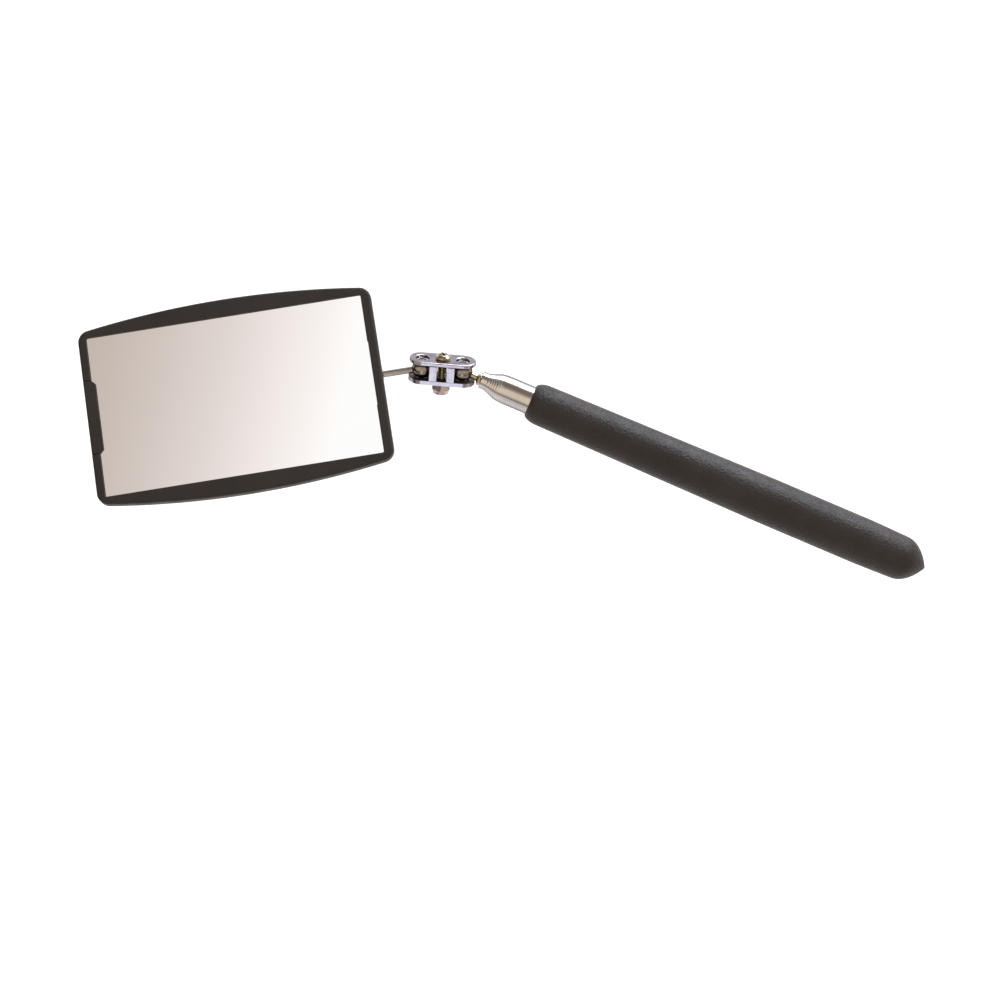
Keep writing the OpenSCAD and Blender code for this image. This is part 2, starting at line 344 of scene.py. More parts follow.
def fillet(corners, steps=6):
    """A closed outline from (x, y, radius) corners, with an arc at each corner that has a radius."""
    outline = []
    count = len(corners)
    for i, (x, y, radius) in enumerate(corners):
        here = Vector((x, y))
        before = Vector(corners[i - 1][:2])
        after = Vector(corners[(i + 1) % count][:2])
        to_before = before - here
        to_after = after - here
        if radius <= 0 or to_before.length < 1e-6 or to_after.length < 1e-6:
            outline.append((x, y))
            continue
        angle = to_before.angle(to_after)
        reach = radius / math.tan(angle / 2)
        reach = min(reach, 0.499 * to_before.length, 0.499 * to_after.length)
        radius = reach * math.tan(angle / 2)
        to_centre = (to_before.normalized() + to_after.normalized()).normalized()
        centre = here + to_centre * radius / math.sin(angle / 2)
        start = here + to_before.normalized() * reach - centre
        end = here + to_after.normalized() * reach - centre
        sweep = start.angle_signed(end)
        for k in range(steps + 1):
            turned = start.copy()
            turned.rotate(Matrix.Rotation(-sweep * k / steps, 2))
            outline.append(tuple(centre + turned))
    return outline


def ring(bm, radius, height, where, segments):
    """A circle of points about the Z axis of where, or one point if the radius is 0."""
    if radius == 0:
        return [bm.verts.new(where @ Vector((0, 0, height)))]
    turns = [2 * math.pi * i / segments for i in range(segments)]
    return [
        bm.verts.new(where @ Vector((radius * math.cos(t), radius * math.sin(t), height)))
        for t in turns
    ]


def bridge(bm, low, high):
    """Faces between two closed loops of points, either of which may be a single point."""
    count = max(len(low), len(high))
    for i in range(count):
        j = (i + 1) % count
        corners = [low[i % len(low)], low[j % len(low)], high[j % len(high)], high[i % len(high)]]
        corners = list(dict.fromkeys(corners))
        if len(corners) > 2:
            bm.faces.new(corners)


def lathe(name, outline, segments=96, where=UPRIGHT):
    """Turns a closed (radius, height) outline about the Z axis of where."""
    bm = bmesh.new()
    rings = [ring(bm, radius, height, where, segments) for radius, height in outline]
    for low, high in zip(rings, rings[1:] + rings[:1]):
        if len(low) > 1 or len(high) > 1:
            bridge(bm, low, high)
    piece = new_piece(name, bm)
    even_normals(piece)
    return piece


def prism(name, outline, low, high):
    """A straight solid on an (x, y) outline between two heights."""
    bm = bmesh.new()
    loops = [[bm.verts.new((x, y, height)) for x, y in outline] for height in (low, high)]
    bridge(bm, *loops)
    for loop in loops:
        bm.faces.new(loop)
    return new_piece(name, bm)


def block(name, x0, x1, y0, y1, z0, z1):
    return prism(name, [(x0, y0), (x1, y0), (x1, y1), (x0, y1)], z0, z1)


def cutter(name, outline, segments=64, where=UPRIGHT):
    """A lathe for use in combine, without the shading of a shown piece."""
    tool = lathe(name, outline, segments, where)
    tool.modifiers.clear()
    return tool


def finish_piece(piece, where, body, slot_name, material, *replaced):
    """Puts a piece in its place, and says which body it rides and which nodes it replaces."""
    piece.data.transform(where)
    piece.data.materials.clear()
    piece.data.materials.append(material)
    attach(piece, body)
    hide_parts(*replaced)
    return piece


# ---------------------------------------------------------------- material tools


class Shader:
    """A Principled material with short calls for the texture nodes that feed it."""

    def __init__(self, name, **values):
        self.material = bpy.data.materials.new(name)
        self.material.use_nodes = True
        self.tree = self.material.node_tree
        self.bsdf = self.tree.nodes["Principled BSDF"]
        for socket, value in values.items():
            self.bsdf.inputs[socket.replace("_", " ")].default_value = value
        self.coordinates = self.tree.nodes.new("ShaderNodeTexCoord")

    def mapped(self, stretch):
        """The object's own coordinates, scaled on each axis."""
        node = self.tree.nodes.new("ShaderNodeMapping")
        node.inputs["Scale"].default_value = stretch
        self.tree.links.new(self.coordinates.outputs["Object"], node.inputs["Vector"])
        return node.outputs["Vector"]

    def noise(self, scale, detail=4.0, rough=0.55, stretch=(1, 1, 1)):
        node = self.tree.nodes.new("ShaderNodeTexNoise")
        node.inputs["Scale"].default_value = scale
        node.inputs["Detail"].default_value = detail
        node.inputs["Roughness"].default_value = rough
        self.tree.links.new(self.mapped(stretch), node.inputs["Vector"])
        return node.outputs["Fac"]

    def cells(self, scale):
        node = self.tree.nodes.new("ShaderNodeTexVoronoi")
        node.feature = "SMOOTH_F1"
        node.inputs["Scale"].default_value = scale
        self.tree.links.new(self.mapped((1, 1, 1)), node.inputs["Vector"])
        return node.outputs["Distance"]

    def ramp(self, source, stops):
        """Colours along source, from (position, colour) stops."""
        node = self.tree.nodes.new("ShaderNodeValToRGB")
        elements = node.color_ramp.elements
        while len(elements) < len(stops):
            elements.new(0.5)
        for element, (position, colour) in zip(elements, stops):
            element.position = position
            element.color = (*colour, 1)
        self.tree.links.new(source, node.inputs["Fac"])
        return node.outputs["Color"]

    def span(self, source, low, high, from_low=0.3, from_high=0.7):
        """Values between low and high, as source goes over its usual range."""
        node = self.tree.nodes.new("ShaderNodeMapRange")
        node.inputs["From Min"].default_value = from_low
        node.inputs["From Max"].default_value = from_high
        node.inputs["To Min"].default_value = low
        node.inputs["To Max"].default_value = high
        self.tree.links.new(source, node.inputs["Value"])
        return node.outputs["Result"]

    def add(self, first, second, weight):
        """The first source, plus the second one times a weight."""
        node = self.tree.nodes.new("ShaderNodeMath")
        node.operation = "MULTIPLY_ADD"
        node.inputs[1].default_value = weight
        self.tree.links.new(second, node.inputs[0])
        self.tree.links.new(first, node.inputs[2])
        return node.outputs["Value"]

    def feed(self, socket, source):
        self.tree.links.new(source, self.bsdf.inputs[socket])

    def bump(self, source, height_mm, strength=1.0):
        node = self.tree.nodes.new("ShaderNodeBump")
        node.inputs["Strength"].default_value = strength
        node.inputs["Distance"].default_value = height_mm * MM
        self.tree.links.new(source, node.inputs["Height"])
        self.tree.links.new(node.outputs["Normal"], self.bsdf.inputs["Normal"])


# ---------------------------------------------------------------- materials

ALONG_MAST = (0.02, 1, 1)
# Painted shade: plating is tinted dark where it turns away, just before its outline, in place of
# dark reflections there.
EDGE_PAINTED_SHADE = (0.15, 0.14, 0.14, 1)


def vinyl():
    """Dipped black vinyl: warm black, with a fine pebbled grain and faint handling marks."""
    s = Shader("vinyl", Specular_IOR_Level=0.24)
    patches = s.noise(90, 3)
    s.feed("Base Color", s.ramp(patches, [
        (0.3, (0.0165, 0.0125, 0.0105)),
        (0.7, (0.0225, 0.0175, 0.0155)),
    ]))
    s.feed("Roughness", s.span(s.noise(260, 5), 0.40, 0.54))
    s.bump(s.add(s.cells(1300), s.noise(2200, 4, 0.6), 0.8), 0.17, 1.0)
    return s.material


def frame_plastic():
    """Moulded black plastic: a spark-eroded texture that has worn a little smoother in places."""
    s = Shader("frame_plastic", Specular_IOR_Level=0.25)
    patches = s.noise(70, 4)
    s.feed("Base Color", s.ramp(patches, [
        (0.3, (0.0145, 0.0112, 0.0085)),
        (0.7, (0.0205, 0.0160, 0.0128)),
    ]))
    s.feed("Roughness", s.span(s.noise(180, 5), 0.46, 0.62))
    s.bump(s.noise(3600, 4, 0.6), 0.03, 0.45)
    return s.material


def tube_chrome():
    """Plated drawn tube: bright, with faint lines along the mast."""
    # The edge tint paints a dark reflection just inside the outline.
    s = Shader("tube_chrome", Metallic=1.0, Specular_Tint=EDGE_PAINTED_SHADE)
    lines = s.noise(2200, 3, 0.6, ALONG_MAST)
    s.feed("Base Color", s.ramp(s.noise(160, 3), [
        (0.3, (0.46, 0.445, 0.44)),
        (0.7, (0.54, 0.53, 0.525)),
    ]))
    s.feed("Roughness", s.span(lines, 0.05, 0.13))
    s.bump(lines, 0.002, 0.3)
    return s.material


def plate_chrome():
    """Plated stampings: bright, a little rippled, with fine scuffs."""
    # The edge tint paints a dark reflection just inside the outline.
    s = Shader("plate_chrome", Metallic=1.0, Specular_Tint=EDGE_PAINTED_SHADE)
    s.feed("Base Color", s.ramp(s.noise(300, 3), [
        (0.3, (0.33, 0.31, 0.35)),
        (0.7, (0.43, 0.41, 0.45)),
    ]))
    s.feed("Roughness", s.span(s.noise(900, 6, 0.7), 0.14, 0.26))
    s.bump(s.noise(420, 3), 0.012, 0.35)
    return s.material


def ball_chrome_shaded():
    """The balls: hardened and plated, painted dark brown as shade in the gap between the plates,
    varying at random.
    """
    # The edge tint paints a dark reflection just inside the outline.
    s = Shader("ball_chrome_shaded", Metallic=1.0, Specular_Tint=EDGE_PAINTED_SHADE)
    # Painted shade: the dark base colour stands for the shadow between the plates.
    s.feed("Base Color", s.ramp(s.noise(380, 4), [
        (0.3, (0.15, 0.12, 0.10)),
        (0.7, (0.30, 0.27, 0.25)),
    ]))
    s.feed("Roughness", s.span(s.noise(1200, 5), 0.07, 0.16))
    return s.material


def plate_painted_shade():
    """The plates' inner faces: dull, and painted dark as shade between the balls."""
    s = Shader("plate_painted_shade", Metallic=0.6)
    # Painted shade: a dark base colour for the shadowed gap between the plates.
    s.feed("Base Color", s.ramp(s.noise(500, 4), [
        (0.3, (0.035, 0.028, 0.024)),
        (0.7, (0.09, 0.075, 0.065)),
    ]))
    s.feed("Roughness", s.span(s.noise(900, 5), 0.35, 0.6))
    return s.material


def rod_steel():
    """Drawn bright steel rod, with lines round it from polishing."""
    # The edge tint paints a dark reflection just inside the outline.
    s = Shader("rod_steel", Metallic=1.0, Specular_Tint=EDGE_PAINTED_SHADE)
    lines = s.noise(1800, 3, 0.6, (1, 0.15, 0.15))
    s.feed("Base Color", s.ramp(s.noise(240, 3), [
        (0.3, (0.23, 0.205, 0.19)),
        (0.7, (0.33, 0.305, 0.29)),
    ]))
    s.feed("Roughness", s.span(lines, 0.05, 0.12))
    s.bump(lines, 0.003, 0.3)
    return s.material


def yellow_zinc(name, light, dark, green):
    """Yellow passivated zinc plate: satin gold that drifts in hue."""
    s = Shader(name, Metallic=1.0)
    s.feed("Base Color", s.ramp(s.noise(420, 4), [
        (0.28, dark),
        (0.5, light),
        (0.72, green),
    ]))
    s.feed("Roughness", s.span(s.noise(1500, 5), 0.16, 0.32))
    s.bump(s.noise(2400, 3), 0.006, 0.3)
    return s.material


def bronze():
    """Spring bronze, rubbed along the mast."""
    s = Shader("spring_bronze", Metallic=1.0)
    s.feed("Base Color", s.ramp(s.noise(500, 3), [
        (0.3, (0.56, 0.34, 0.17)),
        (0.7, (0.72, 0.48, 0.27)),
    ]))
    s.feed("Roughness", s.span(s.noise(1600, 3, 0.6, ALONG_MAST), 0.2, 0.34))
    return s.material


def mirror_silver():
    """Silvered glass seen from the front: clear, with the faintest wipe marks."""
    s = Shader("mirror_silver", Metallic=1.0)
    s.feed("Base Color", s.ramp(s.noise(40, 3), [
        (0.3, (0.975, 0.97, 0.965)),
        (0.7, (0.985, 0.98, 0.975)),
    ]))
    s.feed("Roughness", s.span(s.noise(60, 6, 0.65, (1, 4, 1)), 0.004, 0.03))
    return s.material


def glass_back():
    """Grey protective paint on the back and edges of the glass."""
    s = Shader("glass_back_paint")
    s.feed("Base Color", s.ramp(s.noise(200, 4), [
        (0.3, (0.10, 0.115, 0.11)),
        (0.7, (0.16, 0.175, 0.17)),
    ]))
    s.feed("Roughness", s.span(s.noise(900, 4), 0.3, 0.5))
    return s.material


def soft_pad():
    """Dark foam with open cells."""
    s = Shader("soft_pad", Roughness=0.9)
    s.feed("Base Color", s.ramp(s.noise(800, 4), [
        (0.3, (0.07, 0.07, 0.075)),
        (0.7, (0.13, 0.13, 0.135)),
    ]))
    s.bump(s.cells(3000), 0.05, 0.5)
    return s.material


def nylon():
    """Natural nylon: cream, and a little translucent."""
    s = Shader("nylon", Subsurface_Weight=0.2)
    s.feed("Base Color", s.ramp(s.noise(600, 3), [
        (0.3, (0.62, 0.60, 0.54)),
        (0.7, (0.72, 0.70, 0.64)),
    ]))
    s.feed("Roughness", s.span(s.noise(1200, 3), 0.3, 0.45))
    return s.material


VINYL = vinyl()
FRAME_PLASTIC = frame_plastic()
TUBE_CHROME = tube_chrome()
PLATE_CHROME = plate_chrome()
PLATE_PAINTED_SHADE = plate_painted_shade()
BALL_CHROME_SHADED = ball_chrome_shaded()
ROD_STEEL = rod_steel()
ZINC = yellow_zinc("yellow_zinc", (0.38, 0.33, 0.23), (0.19, 0.15, 0.095), (0.44, 0.42, 0.33))
NUT_ZINC = yellow_zinc("nut_zinc", (0.44, 0.365, 0.345), (0.28, 0.21, 0.19), (0.54, 0.48, 0.47))
STUD_ZINC = yellow_zinc("stud_zinc", (0.36, 0.30, 0.22), (0.17, 0.13, 0.09), (0.46, 0.42, 0.35))
BRONZE = bronze()
MIRROR = mirror_silver()
GLASS_BACK = glass_back()
PAD = soft_pad()
NYLON = nylon()

# ---------------------------------------------------------------- handle and mast


def x_range(node):
    """The stretch of the handle's axis that a CAD node covers, in millimetres."""
    low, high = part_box(node)
    return low.x / MM, high.x / MM


def make_grip():
    """The sleeve, from its rolled nose over the straight seat to the closed, pointed tail."""
    front, tail = x_range("grip")
    dome = tail - GRIP_DOME_L
    bore_end = x_range("end_plug")[1] + GRIP_BORE_GAP
    outline = nose(GRIP_BORE_R, GRIP_NOSE_R, front, GRIP_NOSE_L, GRIP_NOSE_STEPS)
    outline += [
        (GRIP_SEAT_R, -GRIP_SEAT_HALF),
        (GRIP_SEAT_R, GRIP_SEAT_HALF),
        (GRIP_DOME_R, dome),
    ]
    for k in range(1, GRIP_DOME_STEPS):
        fullness = (1 - (k / GRIP_DOME_STEPS) ** 2) ** GRIP_DOME_POWER
        outline.append((GRIP_DOME_R * fullness, dome + GRIP_DOME_L * k / GRIP_DOME_STEPS))
    outline += [(0, tail), (0, bore_end), (GRIP_BORE_R, bore_end)]
    grip = lathe("grip_sleeve", outline, 128)
    finish_piece(grip, MAST, "handle", "grip_vinyl", VINYL, "grip")


def nose(inner, outer, mouth, length, steps=8):
    """The rolled-in mouth of a section, from its bore out to its full radius."""
    return [
        (inner + (outer - inner) * math.sin(t), mouth + length * (1 - math.cos(t)))
        for t in quarter_turn(steps)
    ]


def make_tube(number):
    """One hollow section: a rolled-in mouth, which tapers on the outer tube, and a guide band."""
    mouth, tail = x_range(f"tube_{number}")
    radius = SECTION_R[number - 1]
    bore = radius - TUBE_WALL
    lip = SECTION_R[number] + LIP_CLEAR
    guide = radius if number == 1 else SECTION_R[number - 2] - TUBE_WALL - GUIDE_CLEAR
    rim = OUTER_MOUTH_R if number == 1 else radius
    outline = nose(lip, rim, mouth, NOSE_L) + [
        (radius, mouth + OUTER_TAPER_L),
        (radius, tail - GUIDE_L - TUBE_WALL),
        (guide, tail - GUIDE_L),
        (guide, tail),
        (bore, tail),
        (bore, mouth + LIP_TAPER_TO),
        (lip, mouth + LIP_L),
    ]
    tube = lathe(f"mast_tube_{number}", outline)
    body = "handle" if number == 1 else f"section_{number}"
    finish_piece(tube, MAST, body, "chrome", TUBE_CHROME, f"tube_{number}")


def make_tip_section():
    """The last section: solid, with a guide band and a bore for the stud."""
    mouth, tail = x_range("tube_7")
    radius = SECTION_R[6]
    guide = SECTION_R[5] - TUBE_WALL - GUIDE_CLEAR
    pin_bore = ROD_R + PIN_CLEAR
    outline = nose(pin_bore, radius, mouth, TIP_NOSE_L) + [
        (radius, tail - GUIDE_L - TUBE_WALL),
        (guide, tail - GUIDE_L),
        (guide, tail),
        (0, tail),
        (0, mouth + STUD_BORE_L),
        (pin_bore, mouth + STUD_BORE_L),
    ]
    tip = lathe("mast_tip_section", outline)
    finish_piece(tip, MAST, "section_7", "chrome", TUBE_CHROME, "tube_7")


def cup(steps=6):
    """The hollow end of a neck that sits just clear of its ball."""
    reach = math.asin(ROD_R / CUP_R)
    return [
        (CUP_R * math.sin(reach * k / steps), CUP_R * math.cos(reach * k / steps))
        for k in range(steps + 1)
    ]


def make_stud():
    """The neck behind the mast's ball, its flared collar, and the pin in the tip section."""
    outline = cup() + fillet([
        (ROD_R, NECK_FROM, 0),
        (ROD_R, COLLAR_FROM - FLARE_L, FLARE_ROUND),
        (COLLAR_R, COLLAR_FROM, COLLAR_ROUND),
        (COLLAR_R, COLLAR_TO, COLLAR_ROUND),
        (ROD_R, COLLAR_TO, 0),
        (ROD_R, STUD_L, STUD_END_ROUND),
        (0, STUD_L, 0),
    ])
    stud = lathe("ball_stud", outline, 64)
    finish_piece(stud, STUD, "stud", "brass", STUD_ZINC, "mast_stud")


def make_rod():
    outline = cup() + fillet([
        (ROD_R, NECK_FROM, 0),
        (ROD_R, ROD_L, ROD_END_ROUND),
        (0, ROD_L, 0),
    ])
    rod = lathe("mirror_rod_bar", outline, 64)
    finish_piece(rod, ROD, "rod", "steel", ROD_STEEL, "mirror_rod")


# ---------------------------------------------------------------- swivel clamp


def obround(length, width, steps=28):
    """A slot-shaped outline, symmetric about both axes."""
    radius = width / 2
    half = length / 2 - radius
    outline = []
    for side, first in ((1, -90), (-1, 90)):
        for k in range(steps + 1):
            turn = math.radians(first + 180 * k / steps)
            outline.append((side * half + radius * math.cos(turn), radius * math.sin(turn)))
    return outline


def drill(plate, x, radius):
    """A hole through a plate, at x along it."""
    low = PLATE_IN - CUT_MARGIN
    high = PLATE_OUT + CUT_MARGIN
    outline = [(0, low), (radius, low), (radius, high), (0, high)]
    bit = cutter("bit", outline, 64, Matrix.Translation((x, 0, 0)))
    combine(plate, bit, "DIFFERENCE")


def darken_inside(plate):
    """Gives the faces of a plate that look at the balls a duller material, painted dark as shade."""
    plate.data.materials.append(PLATE_PAINTED_SHADE)
    for face in plate.data.polygons:
        if face.normal.z < -0.9:
            face.material_index = 1


def add_ears(plate):
    """The four ears that are bent up beside the screw."""
    outside = PLATE_W / 2 - EAR_INSET
    for x_side in (-1, 1):
        for y_side in (-1, 1):
            x0, x1 = sorted((x_side * EAR_FROM, x_side * EAR_TO))
            y0, y1 = sorted((y_side * (outside - EAR_T), y_side * outside))
            ear = block("ear", x0, x1, y0, y1, -EAR_TOP, PLATE_OUT)
            combine(plate, ear, "UNION")


def make_plate(name, with_ears):
    """A plate on the +Z side of the clamp: obround, with two ball holes and a screw hole."""
    plate = prism(name, obround(PLATE_L, PLATE_W), PLATE_IN, PLATE_OUT)
    if with_ears:
        add_ears(plate)
    drill(plate, -BALL_PITCH / 2, BALL_HOLE_R)
    drill(plate, 0, SCREW_HOLE_R)
    drill(plate, BALL_PITCH / 2, BALL_HOLE_R)
    soften(plate, PLATE_ROUND, 6)
    plate.data.materials.clear()
    return plate


def make_clamp_plates():
    for name, place_in_clamp, node, with_ears in (
        ("clamp_plate_upper", UPRIGHT, "upper_clamp_plate", False),
        ("clamp_plate_lower", UPSIDE_DOWN, "lower_clamp_plate", True),
    ):
        plate = make_plate(name, with_ears)
        finish_piece(plate, UPRIGHT, "clamp", "chrome", PLATE_CHROME, node)
        darken_inside(plate)
        plate.data.transform(CLAMP @ place_in_clamp)


def thread(name, radius, low, high, around=40, rings_per_pitch=10):
    """A closed cylinder whose surface carries a thread with one start."""
    bm = bmesh.new()
    count = round((high - low) / THREAD_PITCH * rings_per_pitch)
    rings = []
    for k in range(count + 1):
        height = low + (high - low) * k / count
        points = []
        for i in range(around):
            phase = (height / THREAD_PITCH - i / around) % 1
            crest = 1 - abs(2 * phase - 1)
            r = radius - THREAD_DEPTH * (1 - min(1, crest * THREAD_STEEPNESS))
            turn = 2 * math.pi * i / around
            points.append(bm.verts.new((r * math.cos(turn), r * math.sin(turn), height)))
        rings.append(points)
    for a, b in zip(rings, rings[1:]):
        bridge(bm, a, b)
    bm.faces.new(rings[0])
    bm.faces.new(rings[-1])
    return new_piece(name, bm, THREAD_SMOOTH_ANGLE)


def make_screw():
    """A domed head with a cross recess, on a threaded shank that ends in the nut."""
    top = PLATE_OUT + SCREW_HEAD_H
    head = fillet([
        (0, PLATE_OUT, 0),
        (SCREW_HEAD_R - SCREW_HEAD_UNDERCUT, PLATE_OUT, 0.1),
        (SCREW_HEAD_R, PLATE_OUT + SCREW_HEAD_SIDE_H, 0.5),
        (SCREW_HEAD_TOP_R, top, 1.0),
        (0, top, 0),
    ], 8)
    screw = cutter("clamp_screw_body", head, 72)
    for turn in (0, 90):
        bar = block("bar", -RECESS_HALF_L, RECESS_HALF_L, -RECESS_HALF_W, RECESS_HALF_W,
                    top - RECESS_DEPTH, top + 0.5)
        bar.data.transform(Matrix.Rotation(math.radians(turn + RECESS_TURN), 4, "Z"))
        combine(screw, bar, "DIFFERENCE")
    soften(screw, SCREW_ROUND, 2)
    shank_end = -PLATE_OUT - NUT_H + SHANK_INSET
    shank = thread("shank", SCREW_R, shank_end, PLATE_OUT + SHANK_INTO_HEAD)
    finish_piece(join([screw, shank]), CLAMP, "clamp", "brass", ZINC, "clamp_screw")


def join(parts):
    """Makes one object of several, with the first one's name."""
    first = parts[0]
    bm = bmesh.new()
    for part in parts:
        if part.modifiers:
            bake_modifiers(part)
        bm.from_mesh(part.data)
    bm.to_mesh(first.data)
    bm.free()
    for part in parts[1:]:
        bpy.data.objects.remove(part)
    shade(first)
    even_normals(first)
    return first


def make_nut():
    """A hexagon with chamfered corners, and a round collar with a dished end."""
    hexagon = []
    for k in range(6):
        turn = math.radians(60 * k)
        hexagon.append((NUT_CORNER_R * math.cos(turn), NUT_CORNER_R * math.sin(turn)))
    nut = prism("lock_nut_body", hexagon, 0, NUT_HEX_H)
    chamfered = [
        (0, 0),
        (NUT_AF / 2, 0),
        (NUT_CHAMFER_R, NUT_CHAMFER_AT_PLATE),
        (NUT_CHAMFER_R, NUT_HEX_H - NUT_CHAMFER_AT_COLLAR),
        (NUT_AF / 2, NUT_HEX_H),
        (0, NUT_HEX_H),
    ]
    combine(nut, cutter("chamfer", chamfered, 96), "INTERSECT")
    collar = fillet([
        (0, NUT_COLLAR_FROM, 0),
        (NUT_COLLAR_R, NUT_COLLAR_FROM, 0),
        (NUT_COLLAR_R, NUT_H, NUT_COLLAR_ROUND),
        (NUT_DISH_R, NUT_H, NUT_DISH_ROUND),
        (NUT_DISH_FLOOR_R, NUT_H - NUT_DISH_DEPTH, 0),
        (0, NUT_H - NUT_DISH_DEPTH, 0),
    ], 8)
    combine(nut, cutter("collar", collar, 72), "UNION")
    low = -CUT_MARGIN
    high = NUT_H + CUT_MARGIN
    bore = [(0, low), (NUT_BORE_R, low), (NUT_BORE_R, high), (0, high)]
    combine(nut, cutter("bore", bore, 48), "DIFFERENCE")
    soften(nut, NUT_ROUND, 2, 30)
    turned = Matrix.Rotation(math.pi / 6, 4, "Z")
    under = CLAMP @ UPSIDE_DOWN @ Matrix.Translation((0, 0, PLATE_OUT)) @ turned
    finish_piece(nut, under, "clamp", "nut_metal", NUT_ZINC, "lock_nut")


# ---------------------------------------------------------------- mirror head


def rounded_loop(half_l, half_w, corner, side_radius, mid_x, around=10, along=40, across=8):
    """A rectangle with rounded corners, whose long sides are arcs of a large radius."""
    x = half_l - corner
    y = half_w - side_radius + math.sqrt((side_radius - corner) ** 2 - x * x)
    turn = math.atan2(y - half_w + side_radius, x)
    quarter = [(half_l, y * k / across) for k in range(across)]
    quarter += [
        (x + corner * math.cos(turn * k / around), y + corner * math.sin(turn * k / around))
        for k in range(around + 1)
    ]
    for k in range(1, along):
        t = turn + (math.pi / 2 - turn) * k / along
        quarter.append((side_radius * math.cos(t), half_w - side_radius + side_radius * math.sin(t)))
    top = quarter + [(0, half_w)] + [(-px, py) for px, py in reversed(quarter[1:])]
    loop = top + [(-px, -py) for px, py in top]
    return [(mid_x + px, py) for px, py in loop]


def tray_outline(inset):
    """The frame's outside, with its bowed long sides, moved in by an inset."""
    half_w = WINDOW_W / 2 + SIDE_BEZEL
    return rounded_loop(FRAME_L / 2 - inset, half_w - inset, CORNER_R - inset,
                        SIDE_RADIUS - inset, FRAME_MID_X)


def window_outline(grow, corner):
    """The opening that the glass shows in, moved out by grow."""
    return rounded_loop(WINDOW_L / 2 + grow, WINDOW_W / 2 + grow, corner, STRAIGHT, GLASS_MID_X)


def frame_solid(name):
    """The tray before its cuts: loops from the back face, over the front, to the pocket's floor."""
    levels = [
        (tray_outline(BACK_ROUND * (1 - math.sin(t))), BACK_Z + BACK_ROUND * (1 - math.cos(t)))
        for t in quarter_turn(5)
    ]
    levels += [
        (tray_outline(FRONT_ROUND * (1 - math.cos(t))), FRONT_Z - FRONT_ROUND * (1 - math.sin(t)))
        for t in quarter_turn(7)
    ]
    for t in quarter_turn(5):
        grow = LIP_ROUND * (1 - math.sin(t))
        z = FRONT_Z - LIP_ROUND * (1 - math.cos(t))
        levels.append((window_outline(grow, WINDOW_CORNER_R + grow), z))
    pocket = rounded_loop(GLASS_L / 2 + POCKET_CLEAR, GLASS_W / 2 + POCKET_CLEAR,
                          POCKET_CORNER_R, STRAIGHT, GLASS_MID_X)
    levels.append((window_outline(0, WINDOW_CORNER_R), LIP_UNDER_Z))
    levels.append((pocket, LIP_UNDER_Z))
    levels.append((pocket, FLOOR_Z))
    bm = bmesh.new()
    loops = [[bm.verts.new((x, y, z)) for x, y in outline] for outline, z in levels]
    for low, high in zip(loops, loops[1:]):
        bridge(bm, low, high)
    bm.faces.new(loops[0])
    bm.faces.new(loops[-1])
    return new_piece(name, bm)


def add_rod_boss(tray):
    """The round rib behind the tray that the rod is pressed into."""
    end = ROD_REACH + BOSS_L
    outline = fillet([(0, ROD_REACH, 0), (BOSS_R, ROD_REACH, BOSS_END_ROUND), (BOSS_R, end, 0)])
    for t in quarter_turn(6)[1:-1]:
        outline.append((BOSS_R * math.cos(t), end + BOSS_R * math.sin(t)))
    outline.append((0, end + BOSS_R))
    boss = cutter("boss", outline, 64, HEAD_TO_ROD)
    behind = block("keep", FAR_X - BOSS_CUT_DEEP, 0, -BOSS_CUT_HALF_W, BOSS_CUT_HALF_W,
                   -BOSS_CUT_DEEP, BACK_Z + BOSS_BURIED)
    combine(boss, behind, "INTERSECT")
    combine(tray, boss, "UNION")
    hole_r = ROD_R + PIN_CLEAR
    hole_from = ROD_REACH - CUT_MARGIN
    hole_to = ROD_REACH + ROD_HOLE_L
    hole = [(0, hole_from), (hole_r, hole_from), (hole_r, hole_to), (0, hole_to)]
    combine(tray, cutter("rod_hole", hole, 48, HEAD_TO_ROD), "DIFFERENCE")


def make_frame():
    """The tray with its boss, the place for the snap tab, and the notch in the near lip."""
    tray = frame_solid("mirror_frame_tray")
    add_rod_boss(tray)
    half = LATCH_W / 2 + LATCH_GAP
    below = BACK_Z - CUT_MARGIN
    above = FRONT_Z + CUT_MARGIN
    outside = FAR_X - CUT_MARGIN
    wall_end = FAR_X + LATCH_WALL + LATCH_WALL_GAP
    lip_end = FAR_X + FAR_BEZEL + LATCH_LIP_GAP
    near_x = GLASS_MID_X + WINDOW_L / 2
    notch_z = FLOOR_Z + NOTCH_ABOVE_FLOOR
    for cut in (
        block("latch_wall_cut", outside, wall_end, -half, half, below, above),
        block("latch_lip_cut", outside, lip_end, -half, half, LIP_Z, above),
        block("lip_recess", near_x - CUT_MARGIN, near_x + NOTCH_DEPTH, -NOTCH_HALF_W, NOTCH_HALF_W,
              notch_z, above),
    ):
        combine(tray, cut, "DIFFERENCE")
    shade(tray, 40)
    even_normals(tray)
    finish_piece(tray, HEAD, "head", "frame_plastic", FRAME_PLASTIC, "mirror_frame")


def make_latch():
    """The snap tab: the frame's own section, cut out, with a longer chamfered lip."""
    half = LATCH_W / 2
    tab = frame_solid("glass_latch_tab")
    wall = block("wall", FAR_X - CUT_MARGIN, FAR_X + LATCH_WALL, -half, half,
                 BACK_Z - CUT_MARGIN, FRONT_Z + CUT_MARGIN)
    combine(tab, wall, "INTERSECT")
    start = FAR_X + LATCH_LIP_FROM
    lip_end = FAR_X + FAR_BEZEL + LATCH_REACH
    lip = prism("lip", [
        (start, -half),
        (lip_end - LATCH_REACH, -half),
        (lip_end, -half + LATCH_REACH),
        (lip_end, half - LATCH_REACH),
        (lip_end - LATCH_REACH, half),
        (start, half),
    ], LIP_Z + LATCH_LIP_RISE, FRONT_Z)
    combine(tab, lip, "UNION")
    soften(tab, LATCH_ROUND, 3, 50)
    finish_piece(tab, HEAD, "latch", "frame_plastic", FRAME_PLASTIC, "glass_latch")


